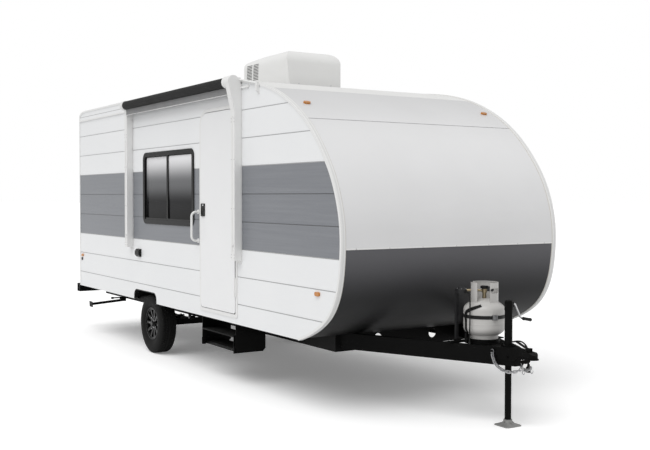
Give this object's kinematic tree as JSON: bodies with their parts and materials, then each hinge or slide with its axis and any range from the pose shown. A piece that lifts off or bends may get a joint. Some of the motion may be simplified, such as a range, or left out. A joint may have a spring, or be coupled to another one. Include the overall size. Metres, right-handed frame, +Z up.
{
  "type": "single-axle travel caravan",
  "caption": "Single-axle travel caravan with a rounded nose, parked on its wheels and tongue jack; door, step, jack, stabilisers, roof vent and wheels move.",
  "frame": {"origin": "middle of the whole part's plan, on the ground", "axes": "+Z up; +Y from the coupler back to the bumper; +X away from the side that has the door"},
  "size_m": [2.3024, 7.078, 3.06],
  "materials": {
    "wall_white": "smooth white sheet, gloss",
    "front_silver": "pale grey, gloss",
    "front_dark": "charcoal, gloss",
    "roof_white": "white sheet",
    "floor_board": "plain board",
    "well_black": "black moulded liner",
    "trim_white": "white moulding",
    "black_plastic": "black, satin",
    "handle_white": "white moulded rail",
    "dark_glass": "dark tinted",
    "chassis_black": "black paint, satin",
    "jack_black": "black powder coat",
    "zinc_steel": "zinc plated",
    "foot_iron": "plain cast",
    "bottle_paint": "pale grey paint",
    "valve_brass": "plain brass",
    "regulator_grey": "grey paint",
    "black_rubber": "matt black",
    "shroud_white": "white moulding",
    "awning_white": "white coated extrusion",
    "awning_fabric": "dark grey coated cloth",
    "amber_lens": "amber lens",
    "red_lens": "red lens",
    "tyre_rubber": "black rubber",
    "wheel_black": "black paint, gloss"
  },
  "bodies": {
    "caravan": {"side_wall_door_side": "wall_white", "side_wall_far_side": "wall_white", "front_panel_upper": "front_silver", "front_panel_lower": "front_dark", "roof": "roof_white", "rear_wall": "wall_white", "floor": "floor_board", "wheel_wells": "well_black", "mouldings": "trim_white", "door_frame": "trim_white", "grab_handle": "handle_white", "window_frames": "black_plastic", "window_glass": "dark_glass", "main_rails": "chassis_black", "cross_members": "chassis_black", "front_cross_plate": "chassis_black", "tongue_rail_door_side": "chassis_black", "tongue_rail_far_side": "chassis_black", "gas_tray": "chassis_black", "coupler": "chassis_black", "jack_tube": "jack_black", "jack_crank": "zinc_steel", "gas_bottle": "bottle_paint", "gas_strap": "chassis_black", "gas_valve": "valve_brass", "gas_regulator": "regulator_grey", "gas_hose": "black_rubber", "tow_cable": "black_rubber", "tow_plug": "black_plastic", "cord_glands": "black_plastic", "safety_chains": "zinc_steel", "axle_beam": "chassis_black", "leaf_springs": "chassis_black", "frame_brackets": "chassis_black", "rear_bumper": "chassis_black", "step_frame": "chassis_black", "air_conditioner": "shroud_white", "roof_vent": "trim_white", "awning_arms": "awning_white", "awning_roller": "awning_fabric", "marker_lamps": "amber_lens", "tail_lamps": "red_lens", "wall_fittings": "black_plastic"},
    "wheel_unit_door_side": {"tyre_door_side": "tyre_rubber", "wheel_door_side": "wheel_black"},
    "wheel_unit_far_side": {"tyre_far_side": "tyre_rubber", "wheel_far_side": "wheel_black"},
    "door": {"entry_door": "wall_white", "door_latch": "black_plastic"},
    "step_upper": {"step_carriage": "chassis_black"},
    "step_lower": {"step_tread": "chassis_black"},
    "jack_stand": {"jack_leg": "jack_black", "jack_foot": "foot_iron"},
    "stabiliser_door_side": {"stab_leg_door_side": "chassis_black"},
    "stabiliser_far_side": {"stab_leg_far_side": "chassis_black"},
    "vent_cover": {"vent_lid": "trim_white"}
  },
  "joints": [
    {"name": "wheel_spin_door_side", "type": "hinge", "parent": "caravan", "child": "wheel_unit_door_side", "pos_m": [-0.87266, 1.144, 0.313], "axis": [1, 0, 0], "continuous": true},
    {"name": "wheel_spin_far_side", "type": "hinge", "parent": "caravan", "child": "wheel_unit_far_side", "pos_m": [0.96634, 1.144, 0.313], "axis": [1, 0, 0], "continuous": true},
    {"name": "door_swing", "type": "hinge", "parent": "caravan", "child": "door", "pos_m": [-1.03516, -0.986, 1.54], "axis": [0, 0, 1], "range_deg": [0, 110]},
    {"name": "step_slide", "type": "slide", "parent": "caravan", "child": "step_upper", "axis": [-1, 0, 0], "range_m": [0, 0.13]},
    {"name": "step_fold", "type": "hinge", "parent": "step_upper", "child": "step_lower", "pos_m": [-0.99816, -0.604, 0.305], "axis": [0, -1, 0], "range_deg": [0, 180]},
    {"name": "jack_lift", "type": "slide", "parent": "caravan", "child": "jack_stand", "axis": [0, 0, 1], "range_m": [0, 0.27]},
    {"name": "stabiliser_swing_door_side", "type": "hinge", "parent": "caravan", "child": "stabiliser_door_side", "pos_m": [-0.65316, 2.819, 0.392], "axis": [0, -1, 0], "range_deg": [0, 64]},
    {"name": "stabiliser_swing_far_side", "type": "hinge", "parent": "caravan", "child": "stabiliser_far_side", "pos_m": [0.74684, 2.819, 0.392], "axis": [0, 1, 0], "range_deg": [0, 64]},
    {"name": "vent_lift", "type": "hinge", "parent": "caravan", "child": "vent_cover", "pos_m": [0.04684, 2.232, 2.7223], "axis": [-1, 0, 0], "range_deg": [0, 60]}
  ]
}
